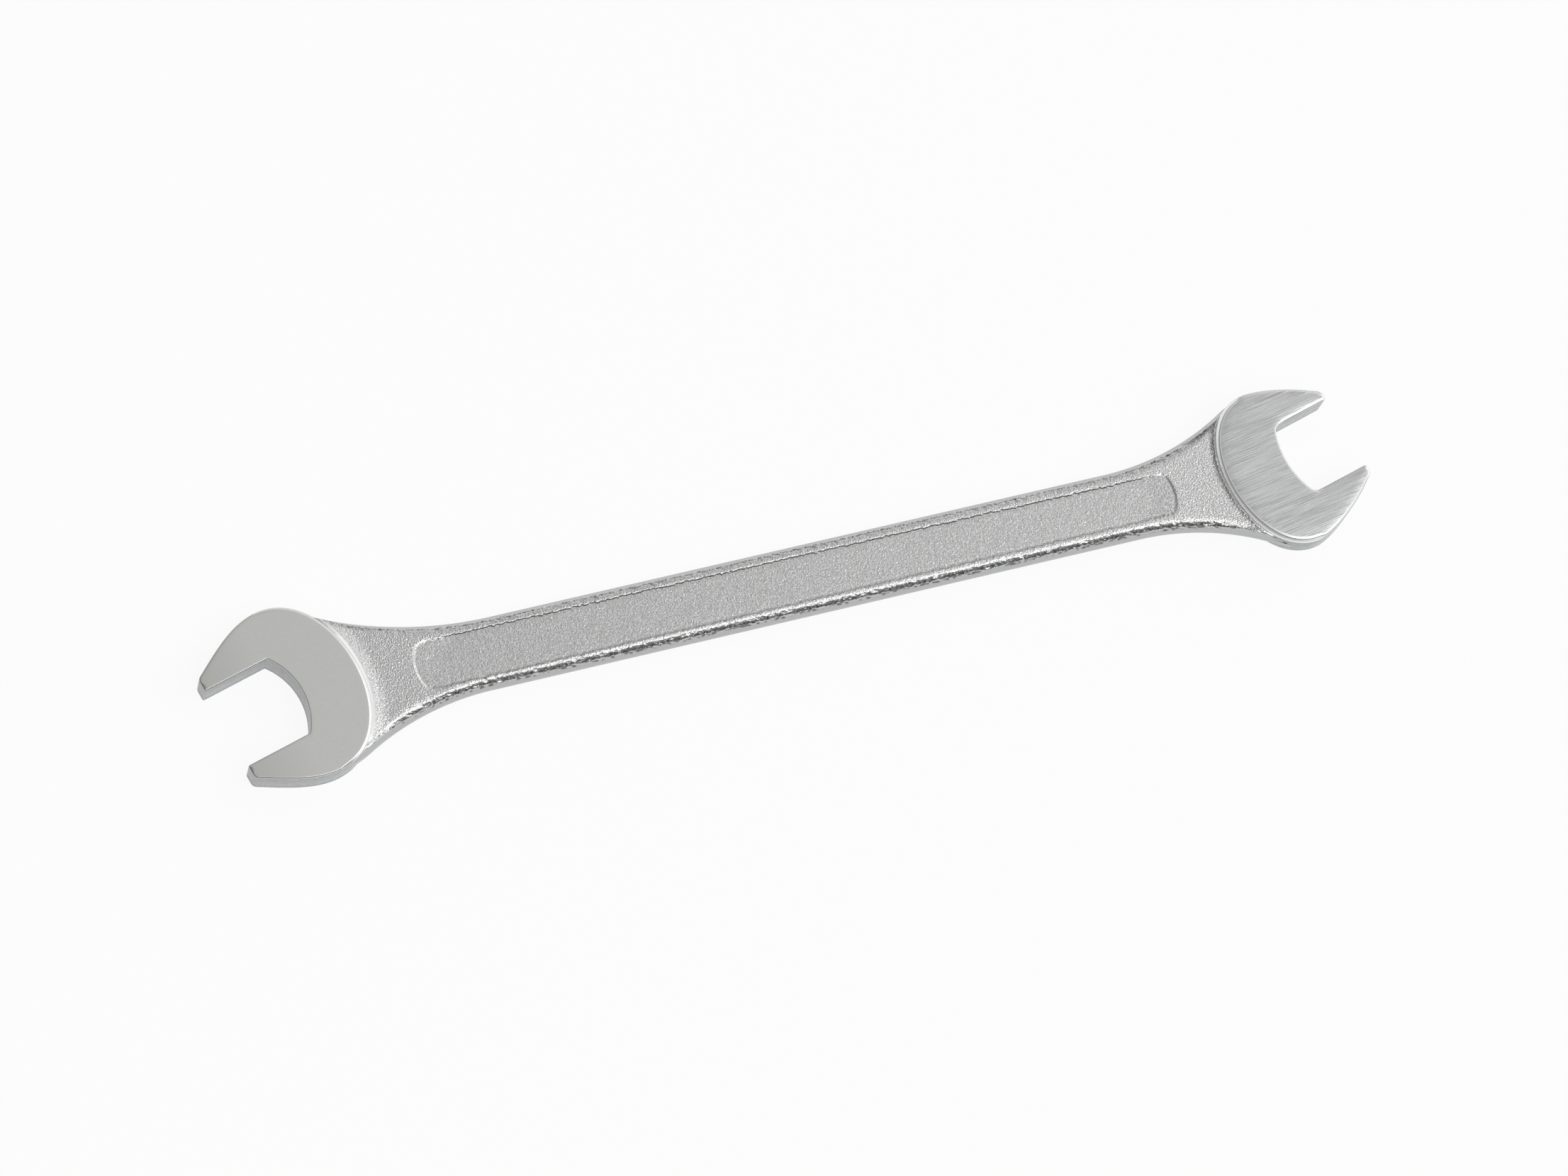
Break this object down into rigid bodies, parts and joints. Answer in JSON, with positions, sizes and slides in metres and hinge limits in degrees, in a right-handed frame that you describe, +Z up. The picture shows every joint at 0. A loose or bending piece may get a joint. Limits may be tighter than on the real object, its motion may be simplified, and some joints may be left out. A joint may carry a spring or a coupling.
{
  "type": "double_open_end_wrench",
  "caption": "Double open end wrench for 10 mm and 11 mm hexagons: a satin chrome plated forging with angled jaws, flat heads, flared necks and recessed panels along the shank",
  "frame": {"origin": "middle of the wrench's box, on the plane that its heads lie on", "axes": "+X runs along the shank from the 11 mm jaw to the 10 mm jaw, +Z is up through the thickness"},
  "size_m": [0.156, 0.023, 0.0047],
  "materials": {
    "satin_chrome_plate": "satin chrome over forged steel, with ground head faces"
  },
  "bodies": {
    "root": {"wrench_forging": "satin_chrome_plate"}
  },
  "joints": []
}
